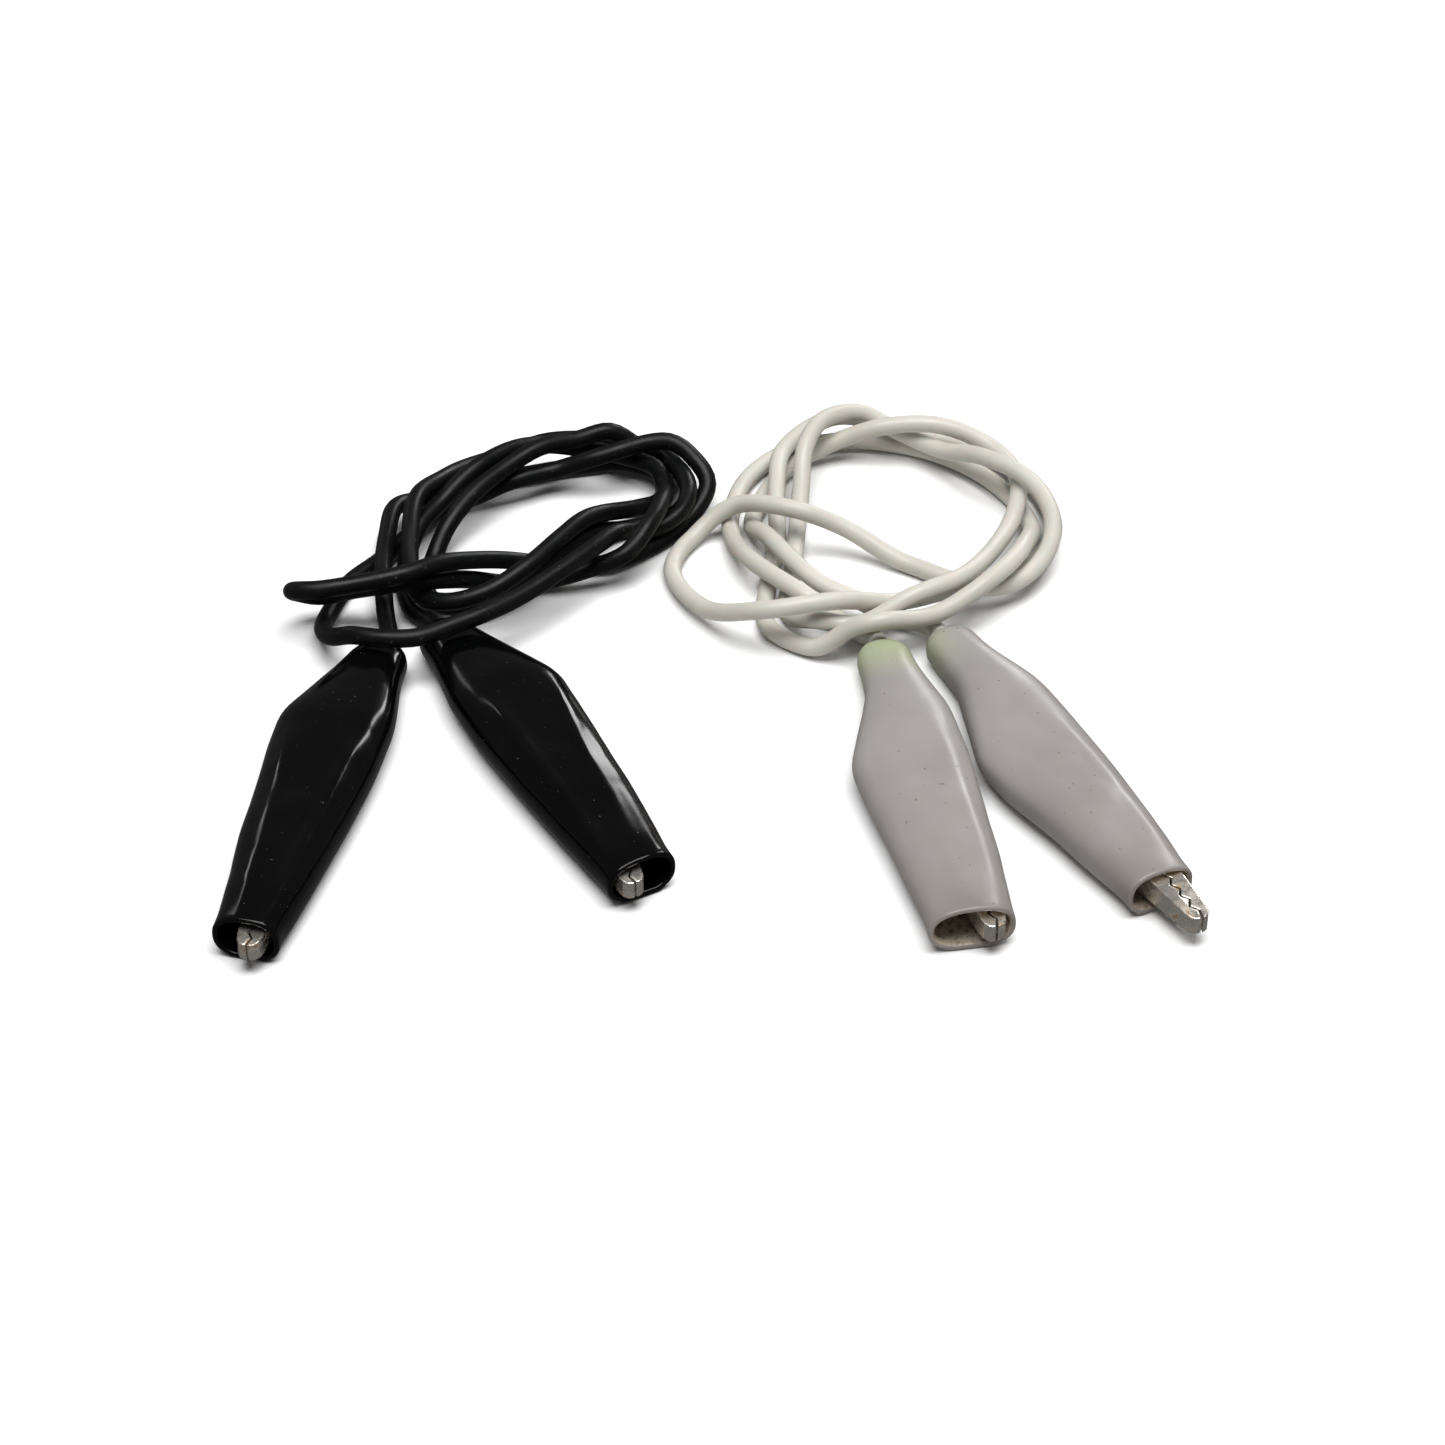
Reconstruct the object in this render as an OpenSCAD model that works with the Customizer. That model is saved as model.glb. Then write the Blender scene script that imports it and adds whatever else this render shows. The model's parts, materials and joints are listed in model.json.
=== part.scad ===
// Pair of test leads with an alligator clip in a soft vinyl boot at each end.
// Four clips lie on their sides with their rivets upright, and each cable lies in a loose
// hank of turns behind its two clips. Millimetres, Z up, all on the plane Z = 0.

/* [Cable] */
// Outside diameter of the cable jacket
cable_diameter = 1.8; // [1.6:0.1:2]
// Diameter of the stranded copper wire inside it
wire_diameter = 0.9; // [0.7:0.1:1]

/* [Clip] */
// Distance from the rivet to the tip of the jaws
jaw_length = 17; // [15:0.5:18]
// Thickness of the jaws' sheet steel
sheet = 0.4; // [0.3:0.05:0.5]
// Distance from one tooth to the next
tooth_pitch = 1.5; // [1:0.1:1.8]
// Height of a tooth
tooth_height = 0.5; // [0.4:0.1:0.8]
// Half of the play between meshing teeth
tooth_play = 0.1; // [0.03:0.01:0.12]

/* [Rivet and spring] */
// Radius of the hollow rivet
rivet_radius = 0.7; // [0.6:0.05:0.8]
// Radial play of the moving jaw on the rivet
rivet_play = 0.05; // [0.03:0.01:0.1]
// Diameter of the spring wire
spring_wire = 0.3; // [0.25:0.05:0.35]

/* [Boot] */
// Length of a boot from its neck to its mouth
boot_length = 40; // [38:0.5:42]
// Wall thickness of a boot
boot_wall = 0.5; // [0.4:0.05:0.7]

/* [Hidden] */

// The four boots: neck x, neck y, heading in degrees, 1 or -1 when turned over,
// rivet's distance from the neck, tips' offset to the fixed side, where the belly is widest,
// and how far the soft boot is pulled longer or shorter
black_left = [-32.5, 8.4, -102.5, 1, 27.1, 0.5, 12, 1.06];
black_right = [-27.7, 11.8, -60.5, -1, 26.3, 1.5, 13, 1.05];
white_left = [15.2, 8.7, -79.8, 1, 25, 1.5, 17.5, 1.02];
white_right = [21.4, 10.6, -64.6, 1, 29.7, 0.9, 18.7, 1.026];

// Centre of the clips' and boots' outline, which stands on the origin
centre = [-1.621, -10.895];

// Height of the clips' middle plane, and the rivet's offset in its boot
clip_height = 2.6;
rivet_offset = 0;

// Jaw profile: half widths along the rivet at the ears and at the tip
ear_width = 1.55;
tip_width = 0.9;
ear_gap = 0.08;
ear_radius = 1.7;
back_height = 2.5;
tip_height = 1.15;
handle_length = 9.5;
fixed_handle_height = 2.9;
moving_handle_height = 3.8;
handle_width = 1.2;
teeth_start = 7.8;

// Crimp tail: the wire's offset, the flat strip and the barrel round the jacket
wire_offset = 0.2;
tail_end = -16.5;
barrel_start = -14;
jacket_end = -13.8;
wire_end = -11.4;

// Boots: half heights, and points round a ring
boot_heights = [[0, 2], [6, 2.3], [12, 2.7], [28, 2.7], [40, 2.5]];
boot_stations = [0, 2, 4.5, 7, 9.5, 12, 14.5, 17, 19.5, 22, 26, 31, 36, 39, 40];
boot_points = 24;
roundness = 2.6;
flat = 0.15;
neck_bore = 1;

// Cable: points round a ring and the longest step between rings
cable_sides = 8;
wire_sides = 8;
ring_step = 4.4;

// Routes from neck to neck, chosen by hand
black_route = [
    [-29.3, 14.8, 1], [-30.5, 16.2, 1], [-31.5, 20, 1], [-31.5, 23.5, 1.5], [-30.5, 27, 3],
    [-28.5, 30.5, 3.5], [-25, 34.5, 5], [-20.5, 39, 4.5], [-15.5, 41, 3], [-7, 37.5, 3],
    [-6, 34, 3], [-6, 29, 5], [-7, 25, 5.5], [-9.5, 21.5, 4], [-13, 21, 2.5], [-17, 20.5, 1.5],
    [-21.5, 20.5, 1], [-25, 18.5, 3], [-30, 15.5, 5], [-36, 15.5, 4], [-39.5, 15.8, 3],
    [-41.2, 15.2, 3.8], [-41.8, 14, 5], [-41, 12.8, 6], [-39, 12.4, 6.4],
    [-36, 13, 6.5], [-31, 14, 7], [-27.5, 16.5, 6.5],
    [-24.5, 19, 5], [-21.5, 21, 3.5], [-18.5, 22.5, 2], [-15, 23.5, 1], [-11, 24, 1],
    [-4.5, 29.5, 1], [-1.5, 34.5, 3], [-3, 37, 4.5], [-5.5, 38.5, 5.5], [-13, 37, 4.5],
    [-17, 37, 3], [-21.5, 35, 3], [-25, 34.5, 1.5], [-28.5, 33, 1], [-34, 24.5, 1],
    [-37, 20.5, 1], [-38.5, 16, 1], [-38.9, 12.6, 1.6], [-37.8, 9.4, 3], [-35.4, 7.2, 4.9],
    [-32.3, 6.2, 5.3], [-29, 6.4, 5.3], [-26, 8, 5.4], [-23, 9.9, 5.4], [-19.5, 13, 5.2],
    [-13, 20, 5.5],
    [-10.5, 23.5, 5], [-8, 26.5, 3], [-6, 27.5, 3], [-4, 29.5, 3.5], [-3.5, 32.5, 4],
    [-6, 39.5, 3], [-8.5, 41, 3], [-11.5, 41, 5], [-15, 39.5, 5], [-18.5, 37.5, 5.5],
    [-22, 34.5, 5], [-25, 31, 4.5], [-27.5, 27.5, 3], [-29, 24, 1], [-29.5, 20.5, 1],
    [-28, 17, 1], [-24.5, 16, 2], [-21.5, 17.5, 3], [-18.5, 19.5, 3.5], [-15.5, 23, 3.5],
    [-12.5, 27, 2.5], [-10, 29.5, 1], [-7, 30.5, 1], [-4.5, 32.5, 1], [-3.5, 35.5, 1],
    [-4, 39, 1], [-7, 43, 1], [-12, 45, 1], [-18, 45, 1], [-22.5, 42.5, 1], [-26.5, 38, 2.5],
    [-28.5, 34, 4], [-30.5, 30, 5], [-31, 25.5, 5], [-30, 16.7, 3], [-27, 14.1, 3.6],
    [-23, 14.5, 4.5], [-19, 17.5, 5.5], [-16, 22, 5.5], [-13.5, 26, 5], [-8.5, 32.5, 1.5],
    [-6.6, 34.1, 1], [-5.8, 36.4, 1], [-6.6, 39, 1], [-10, 41, 1], [-14.5, 40.5, 1], [-20, 39, 1],
    [-26, 37, 1], [-30.5, 34, 1.5], [-33, 30.5, 3], [-33.5, 26, 3], [-33.5, 20, 3],
    [-33, 15, 1.5], [-32.4, 11.5, 1.5]];
white_route = [
    [15, 10.7, 1.5], [12.5, 13.3, 1], [8.5, 15.5, 3], [3, 21.5, 3], [1, 27.5, 1.5], [1, 33, 1],
    [3, 39, 1], [7.5, 43.5, 1], [14, 45, 1], [21.5, 43, 1], [27.5, 38, 1], [31, 31, 1],
    [30, 23, 4], [27, 17, 5], [20.5, 11.8, 3.8], [15, 9.1, 5.1],
    [12.6, 9.3, 4.2], [9, 10, 1.2], [4.5, 13.5, 1],
    [4.5, 20, 1], [5.5, 27, 1], [5.5, 34, 3], [6.5, 41, 3], [12, 46.5, 3], [18, 47.5, 1],
    [25, 44, 1], [31, 38.5, 1], [33.5, 30, 1], [30.5, 23, 1], [25, 20.5, 1], [18, 24, 1],
    [12, 26.5, 3.5], [6.5, 27, 5.5], [1, 30, 3.5], [-3, 28, 1], [-5, 22.5, 1], [-1.5, 15, 2],
    [4, 11, 5], [11, 11.7, 5.6], [17.5, 15, 3], [23, 17, 3], [28.5, 18.5, 2.5], [32, 22.5, 3],
    [33, 27.5, 4], [31, 32.5, 5], [26.5, 36.5, 5], [22.5, 40.5, 3], [18, 44, 3],
    [14.5, 45, 4.5], [10.5, 42.5, 5.5], [8.5, 38.5, 5], [8, 34, 3], [7.5, 28.5, 1.5],
    [7, 22.5, 1], [6.5, 15.5, 1], [9.2, 12, 3], [13.5, 11.2, 3.2], [18.3, 12.9, 5.2],
    [23.5, 16.5, 5], [27.5, 24, 3.5], [29.5, 30, 3], [30, 36, 3], [27.5, 40.5, 3.5],
    [22.5, 42, 5], [16.5, 42.5, 4.5], [11.5, 42.5, 2.5], [7.5, 41, 1], [5, 37, 1],
    [3, 30.5, 1], [4.5, 25, 3.5], [9.5, 18, 3], [13, 16, 2.5], [17, 15, 1], [20.3, 12.9, 1.5]];

steel = [0.74, 0.73, 0.7];
copper = [0.8, 0.5, 0.32];
tin = [0.66, 0.66, 0.66];
black_vinyl = [0.05, 0.05, 0.06];
white_vinyl = [0.8, 0.79, 0.8];
black_jacket = [0.08, 0.08, 0.08];
white_jacket = [0.9, 0.88, 0.82];

// ---- places -----------------------------------------------------------------------------

function tilt(c) = asin((c[5] - rivet_offset) / jaw_length);

// A point in a boot's own frame (X from neck to mouth, Y to the fixed jaw's side), placed
function in_boot(c, x, y, z) =
    [c[0] + x * cos(c[2]) - c[3] * y * sin(c[2]), c[1] + x * sin(c[2]) + c[3] * y * cos(c[2]), z];

// A point in a clip's own frame (origin on the rivet, X to the tip), placed
function in_clip(c, x, y) =
    in_boot(c, c[4] + x * cos(tilt(c)) - y * sin(tilt(c)),
            rivet_offset + x * sin(tilt(c)) + y * cos(tilt(c)), clip_height);

module to_origin() translate([-centre[0], -centre[1], 0]) children();

module at_boot(c)
    to_origin() translate([c[0], c[1], 0]) rotate([0, 0, c[2]]) {
        if (c[3] > 0) children();
        else mirror([0, 1, 0]) children();
    }

module at_clip(c)
    at_boot(c) translate([c[4], rivet_offset, clip_height]) rotate([0, 0, tilt(c)]) children();

// ---- swept tubes ------------------------------------------------------------------------

function unit(v) = v / norm(v);

// One point of a centripetal Catmull-Rom curve, at s from p1 (0) to p2 (1)
function blend(p, q, a, b, t) = (b - t) / (b - a) * p + (t - a) / (b - a) * q;
function curve_point(p0, p1, p2, p3, s) =
    let (t1 = sqrt(norm(p1 - p0)), t2 = t1 + sqrt(norm(p2 - p1)), t3 = t2 + sqrt(norm(p3 - p2)),
         t = t1 + (t2 - t1) * s,
         a1 = blend(p0, p1, 0, t1, t), a2 = blend(p1, p2, t1, t2, t), a3 = blend(p2, p3, t2, t3, t),
         b1 = blend(a1, a2, 0, t2, t), b2 = blend(a2, a3, t1, t3, t))
    blend(b1, b2, t1, t2, t);

// Points along the curve through a route, no lower than the cable's own radius
function smooth(r) =
    let (n = len(r))
    [for (i = [0 : n - 2])
         let (p0 = i > 0 ? r[i - 1] : 2 * r[0] - r[1],
              p3 = i < n - 2 ? r[i + 2] : 2 * r[n - 1] - r[n - 2],
              steps = max(1, ceil(norm(r[i + 1] - r[i]) / ring_step)))
         for (k = [0 : steps - 1])
             let (p = curve_point(p0, r[i], r[i + 1], p3, k / steps))
             [p[0], p[1], max(p[2], cable_diameter / 2)],
     r[n - 1]];

// Tangents, and normals carried along the curve without twist
function tangents(p) =
    let (n = len(p)) [for (i = [0 : n - 1]) unit(p[min(i + 1, n - 1)] - p[max(i - 1, 0)])];
function carried(v, t) = unit(v - (v * t) * t);
function normals(t) =
    [for (i = 0, v = carried([0, 0, 1], t[0]); i < len(t);
          i = i + 1, v = i < len(t) ? carried(v, t[i]) : v) v];

function ring(c, t, v, r, sides) =
    let (w = cross(t, v))
    [for (k = [0 : sides - 1]) c + r * (cos(360 * k / sides) * v + sin(360 * k / sides) * w)];

function skin(count, sides, first, out) =
    [for (i = [0 : count - 2], k = [0 : sides - 1])
         let (a = first + i * sides + k, b = first + i * sides + (k + 1) % sides,
              c = b + sides, d = a + sides)
         each out ? [[a, d, b], [b, d, c]] : [[a, b, d], [b, c, d]]];
function rim(sides, outer, inner, out) =
    [for (k = [0 : sides - 1])
         let (a = outer + k, b = outer + (k + 1) % sides, c = inner + (k + 1) % sides,
              d = inner + k)
         each out ? [[a, b, c], [a, c, d]] : [[a, c, b], [a, d, c]]];

module tube(p, first, last, radius, sides, bore = 0) {
    t = tangents(p);
    v = normals(t);
    count = last - first + 1;
    outer = [for (i = [first : last]) each ring(p[i], t[i], v[i], radius, sides)];
    inner = [for (i = [first : last]) each ring(p[i], t[i], v[i], bore, sides)];
    total = count * sides;
    if (bore > 0)
        polyhedron(concat(outer, inner),
                   concat(skin(count, sides, 0, true), skin(count, sides, total, false),
                          rim(sides, 0, total, true),
                          rim(sides, total - sides, 2 * total - sides, false)));
    else
        polyhedron(outer,
                   concat(skin(count, sides, 0, true),
                          [[for (k = [0 : sides - 1]) k],
                           [for (k = [0 : sides - 1]) total - 1 - k]]));
}

// ---- cables -----------------------------------------------------------------------------

// The stretch inside a boot, from the wire's bare end to the neck
function lead_in(c) =
    [in_clip(c, wire_end, wire_offset), in_clip(c, jacket_end, wire_offset),
     in_clip(c, tail_end, wire_offset), in_boot(c, 3, 0, 2.2), in_boot(c, 0, 0, 2)];
function reversed(l) = [for (i = [len(l) - 1 : -1 : 0]) l[i]];
function lead_path(a, route, b) = smooth(concat(lead_in(a), route, reversed(lead_in(b))));

black_path = lead_path(black_right, black_route, black_left);
white_path = lead_path(white_left, white_route, white_right);

module jacket(path)
    to_origin() tube(path, 1, len(path) - 2, cable_diameter / 2, cable_sides,
                     wire_diameter / 2 + 0.03);
module wire(path)
    to_origin() tube(path, 0, len(path) - 1, wire_diameter / 2, wire_sides);

// ---- clip -------------------------------------------------------------------------------

// Prism of a side profile: half widths along the rivet at distances from it
module between_widths(w)
    rotate([90, 0, 0]) linear_extrude(height = 20, center = true)
        polygon(concat(w, [for (i = [len(w) - 1 : -1 : 0]) [w[i][0], -w[i][1]]]));

// The free edge where the teeth mesh; phase is 1 on one jaw and -1 on the other
function tooth_line(phase) =
    [for (x = teeth_start, k = 0; x <= jaw_length - 0.9;
          x = x + tooth_pitch / 2, k = k + 1)
         [x, (k % 2 == 0 ? -0.5 : 0.5) * phase * tooth_height + tooth_play]];

// A bent channel: a back along Y and two flanges whose free edges carry the teeth
module channel(handle_height, widths, phase) {
    back = [[-handle_length, handle_height], [-1, back_height], [2, back_height - 0.15],
            [12, 1.5], [jaw_length - 1.3, tip_height], [jaw_length - 0.6, tip_height - 0.15],
            [jaw_length - 0.15, tip_height - 0.45], [jaw_length, tip_height - 0.8]];
    edge = concat([[jaw_length, tooth_play]], reversed(tooth_line(phase)),
                  [[teeth_start - 0.9, 0.75], [2.4, 0.75], [-2.6, 1.75],
                   [-handle_length + 0.6, handle_height - 1.2]]);
    difference() {
        intersection() {
            linear_extrude(height = 6, center = true) polygon(concat(back, edge));
            between_widths(widths);
        }
        intersection() {
            linear_extrude(height = 7, center = true)
                polygon([[-handle_length - 1, -4], [-handle_length - 1, handle_height - sheet + 0.07],
                         [-1, back_height - sheet], [2, back_height - 0.15 - sheet],
                         [12, 1.5 - sheet], [jaw_length - 1.3, tip_height - sheet],
                         [jaw_length - 0.6, -4]]);
            between_widths([for (w = widths) [w[0] + (w[0] < 0 ? -0.5 : 0.2), w[1] - sheet]]);
        }
    }
}

module ears(width, hole)
    for (s = [-1, 1])
        translate([0, 0, s * (width - sheet / 2)]) difference() {
            union() {
                cylinder(r = ear_radius, h = sheet, center = true, $fn = 48);
                translate([0, (ear_radius + 0.8) / 2, 0])
                    cube([2 * ear_radius, ear_radius + 0.8, sheet], center = true);
            }
            cylinder(r = hole, h = 1, center = true, $fn = 48);
        }

module fixed_jaw() {
    widths = [[-handle_length, handle_width], [-3, ear_width], [3, ear_width],
              [jaw_length, tip_width]];
    difference() {
        channel(fixed_handle_height, widths, 1);
        cylinder(r = ear_radius - 0.1, h = 10, center = true, $fn = 48);
    }
    ears(ear_width, rivet_radius);
    // Tail: a strip bent in to the wire, and a barrel crimped round the jacket
    strip = wire_offset + cable_diameter / 2;
    linear_extrude(height = 1.8, center = true)
        polygon([[-9.3, fixed_handle_height], [-9.7, fixed_handle_height],
                 [-11.1, strip + sheet], [tail_end, strip + sheet], [tail_end, strip],
                 [-10.9, strip], [-9.3, fixed_handle_height - sheet]]);
    difference() {
        translate([tail_end, wire_offset, 0]) rotate([0, 90, 0])
            cylinder(r = cable_diameter / 2 + sheet, h = barrel_start - tail_end, $fn = 48);
        translate([tail_end - 1, wire_offset, 0]) rotate([0, 90, 0])
            cylinder(r = cable_diameter / 2, h = 5, $fn = 48);
        translate([tail_end - 1, -3, -0.2]) cube([5, 2.6, 0.4]);
    }
}

module moving_jaw() {
    inner = ear_width - sheet - ear_gap;
    at_teeth = ear_width - (ear_width - tip_width) * 4.3 / 14;
    widths = [[-handle_length, handle_width], [-4.5, handle_width], [-3.7, inner],
              [6.4, inner], [7.3, at_teeth], [jaw_length, tip_width]];
    mirror([0, 1, 0]) {
        difference() {
            channel(moving_handle_height, widths, -1);
            cylinder(r = ear_radius - 0.1, h = 10, center = true, $fn = 48);
        }
        ears(inner, rivet_radius + rivet_play);
    }
}

module rivet()
    difference() {
        union() {
            cylinder(r = rivet_radius, h = 2 * ear_width + 0.2, center = true, $fn = 48);
            for (s = [-1, 1])
                translate([0, 0, s * (ear_width + 0.14)])
                    cylinder(r = 1.3, h = 0.28, center = true, $fn = 48);
        }
        cylinder(r = rivet_radius / 2, h = 6, center = true, $fn = 32);
    }

// Torsion spring: two and a half turns round the rivet, a leg on each jaw's handle
module spring() {
    mean = 1.3;
    turns = 2.5;
    points = concat(
        [[-7.8, 2.1, 0.45]],
        [for (k = [0 : 30]) let (a = 90 - 360 * turns * k / 30)
             [mean * cos(a), mean * sin(a), 0.45 - 0.9 * k / 30]],
        [[-7.8, -2.75, -0.45]]);
    tube(points, 0, len(points) - 1, spring_wire / 2, 6);
}

module solder()
    difference() {
        union() {
            translate([-13.6, wire_offset, 0]) rotate([0, 90, 0])
                cylinder(r = 0.75, h = 2.4, $fn = 32);
            translate([-13.6, wire_offset, -0.5]) cube([2.4, cable_diameter / 2, 1]);
        }
        translate([-14, wire_offset, 0]) rotate([0, 90, 0])
            cylinder(r = wire_diameter / 2, h = 4, $fn = 32);
    }

// ---- boot -------------------------------------------------------------------------------

function moving_half(c, x) =
    lookup(x, [[0, 2.5], [c[6] - 10.5, 3.1], [c[6], 6.7], [c[6] + 5, 6.2], [30, 5.3],
               [boot_length - 1, 4.4], [boot_length, 4.5]]);
function fixed_half(x) =
    lookup(x, [[0, 2.5], [5, 3.1], [11, 4.5], [17, 4.7], [24, 4.5], [31, 4.2],
               [boot_length - 1, 3.6], [boot_length, 3.7]]);
function rounded(v) = sign(v) * pow(abs(v), 2 / roundness);
function boot_ring(c, x, wall) =
    let (h = lookup(x, boot_heights), closing = max(0, 1 - x / 4.5),
         side = wall > 0 ? 1 : 0)
    [for (k = [0 : boot_points - 1])
         let (a = 360 * k / boot_points,
              w = (cos(a) > 0 ? fixed_half(x) : moving_half(c, x)) - wall,
              low = wall > 0 ? wall : 0,
              y = (w * (1 - side * closing) + neck_bore * side * closing) * rounded(cos(a)),
              z = h + ((h - wall) * (1 - side * closing) + neck_bore * side * closing)
                  * rounded(sin(a)) - flat * (1 - side * closing))
         [x * c[7], y, max(low, z)]];

module boot(c) {
    n = len(boot_stations);
    total = n * boot_points;
    polyhedron(
        concat([for (x = boot_stations) each boot_ring(c, x, 0)],
               [for (x = boot_stations) each boot_ring(c, x, boot_wall)]),
        concat(skin(n, boot_points, 0, true), skin(n, boot_points, total, false),
               rim(boot_points, 0, total, true),
               rim(boot_points, total - boot_points, 2 * total - boot_points, false)));
}

// ---- nodes ------------------------------------------------------------------------------

module black_cable_jacket() color(black_jacket) jacket(black_path);
module black_cable_wire() color(copper) wire(black_path);
module white_cable_jacket() color(white_jacket) jacket(white_path);
module white_cable_wire() color(copper) wire(white_path);

module black_left_fixed_jaw() color(steel) at_clip(black_left) fixed_jaw();
module black_left_moving_jaw() color(steel) at_clip(black_left) moving_jaw();
module black_left_rivet() color(steel) at_clip(black_left) rivet();
module black_left_spring() color(steel) at_clip(black_left) spring();
module black_left_solder() color(tin) at_clip(black_left) solder();
module black_left_boot() color(black_vinyl) at_boot(black_left) boot(black_left);

module black_right_fixed_jaw() color(steel) at_clip(black_right) fixed_jaw();
module black_right_moving_jaw() color(steel) at_clip(black_right) moving_jaw();
module black_right_rivet() color(steel) at_clip(black_right) rivet();
module black_right_spring() color(steel) at_clip(black_right) spring();
module black_right_solder() color(tin) at_clip(black_right) solder();
module black_right_boot() color(black_vinyl) at_boot(black_right) boot(black_right);

module white_left_fixed_jaw() color(steel) at_clip(white_left) fixed_jaw();
module white_left_moving_jaw() color(steel) at_clip(white_left) moving_jaw();
module white_left_rivet() color(steel) at_clip(white_left) rivet();
module white_left_spring() color(steel) at_clip(white_left) spring();
module white_left_solder() color(tin) at_clip(white_left) solder();
module white_left_boot() color(white_vinyl) at_boot(white_left) boot(white_left);

module white_right_fixed_jaw() color(steel) at_clip(white_right) fixed_jaw();
module white_right_moving_jaw() color(steel) at_clip(white_right) moving_jaw();
module white_right_rivet() color(steel) at_clip(white_right) rivet();
module white_right_spring() color(steel) at_clip(white_right) spring();
module white_right_solder() color(tin) at_clip(white_right) solder();
module white_right_boot() color(white_vinyl) at_boot(white_right) boot(white_right);

black_cable_jacket();
black_cable_wire();
white_cable_jacket();
white_cable_wire();
black_left_fixed_jaw();
black_left_moving_jaw();
black_left_rivet();
black_left_spring();
black_left_solder();
black_left_boot();
black_right_fixed_jaw();
black_right_moving_jaw();
black_right_rivet();
black_right_spring();
black_right_solder();
black_right_boot();
white_left_fixed_jaw();
white_left_moving_jaw();
white_left_rivet();
white_left_spring();
white_left_solder();
white_left_boot();
white_right_fixed_jaw();
white_right_moving_jaw();
white_right_rivet();
white_right_spring();
white_right_solder();
white_right_boot();
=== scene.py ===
"""Two alligator clip leads, black and white, on a pale bench."""

import json
import math

import bpy
import numpy as np
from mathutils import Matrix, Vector, noise


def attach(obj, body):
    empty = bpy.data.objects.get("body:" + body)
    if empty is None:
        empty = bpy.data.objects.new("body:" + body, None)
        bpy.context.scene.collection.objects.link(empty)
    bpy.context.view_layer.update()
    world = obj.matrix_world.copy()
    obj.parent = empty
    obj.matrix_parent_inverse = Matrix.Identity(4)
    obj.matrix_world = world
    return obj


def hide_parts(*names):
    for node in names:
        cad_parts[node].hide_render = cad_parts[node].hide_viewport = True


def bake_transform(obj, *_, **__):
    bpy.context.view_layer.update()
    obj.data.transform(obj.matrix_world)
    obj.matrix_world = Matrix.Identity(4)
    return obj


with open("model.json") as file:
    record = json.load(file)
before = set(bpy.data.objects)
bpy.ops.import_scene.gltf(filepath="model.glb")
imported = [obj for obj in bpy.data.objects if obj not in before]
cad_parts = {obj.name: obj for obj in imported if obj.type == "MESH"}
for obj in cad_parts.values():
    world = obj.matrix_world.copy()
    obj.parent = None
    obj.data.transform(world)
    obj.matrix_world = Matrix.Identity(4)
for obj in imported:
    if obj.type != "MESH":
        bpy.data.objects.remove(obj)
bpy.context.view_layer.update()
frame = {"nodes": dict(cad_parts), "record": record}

MM = 0.001

# ---- the layout that the CAD model has, in millimetres -------------------------------------

# The clips and routes are placed about the point that the camera looks at. CENTRE is where the
# frame's origin lies in that layout.
CENTRE = np.array([-1.621, -10.895, 0.0])
CLIP_HEIGHT = 2.6
JAW_LENGTH = 17.0
BOOT_LENGTH = 40.0
BOOT_WALL = 0.5
CABLE_RADIUS = 0.9
NECK_BORE = 1.0


class Clip:
    """One clip in its boot.

    x, y: the neck's place. heading: the way from the neck to the mouth, in degrees. side: 1 or
    -1, where the fixed jaw is. rivet: its distance from the neck. tip: how far the tips lie to
    the fixed jaw's side. belly: where the boot is widest. stretch: of the boot's length. mouth:
    the soft rim's half widths, to the moving and to the fixed jaw's side.
    """

    def __init__(self, name, x, y, heading, side, rivet, tip, belly, stretch, mouth):
        self.name, self.rivet, self.belly = name, rivet, belly
        self.stretch, self.mouth = stretch, mouth
        self.colour = name.split("_")[0]
        self.neck = np.array([x, y, 0.0]) - CENTRE
        a = math.radians(heading)
        self.along = np.array([math.cos(a), math.sin(a), 0.0])
        self.across = side * np.array([-math.sin(a), math.cos(a), 0.0])
        self.tilt = math.asin(tip / JAW_LENGTH)

    def in_boot(self, x, y, z):
        """A point in the boot's frame: x from the neck, y to the fixed jaw's side."""
        return self.neck + x * self.along + y * self.across + np.array([0.0, 0.0, z])

    def in_clip(self, x, y, z=0.0):
        """A point in the clip's frame: origin on the rivet, x to the tips."""
        c, s = math.cos(self.tilt), math.sin(self.tilt)
        return self.in_boot(self.rivet + x * c - y * s, x * s + y * c, CLIP_HEIGHT + z)


BLACK_LEFT = Clip("black_left", -32.5, 8.4, -102.5, 1, 27.1, 0.5, 12, 1.06, (3.4, 3.0))
BLACK_RIGHT = Clip("black_right", -27.7, 11.8, -60.5, -1, 26.3, 1.5, 13, 1.05, (3.5, 3.7))
WHITE_LEFT = Clip("white_left", 15.2, 8.7, -79.8, 1, 25, 1.5, 17.5, 1.02, (4.5, 3.7))
WHITE_RIGHT = Clip("white_right", 21.4, 10.6, -64.6, 1, 29.7, 0.9, 18.7, 1.026, (3.4, 3.6))
CLIPS = [BLACK_LEFT, BLACK_RIGHT, WHITE_LEFT, WHITE_RIGHT]

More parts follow.
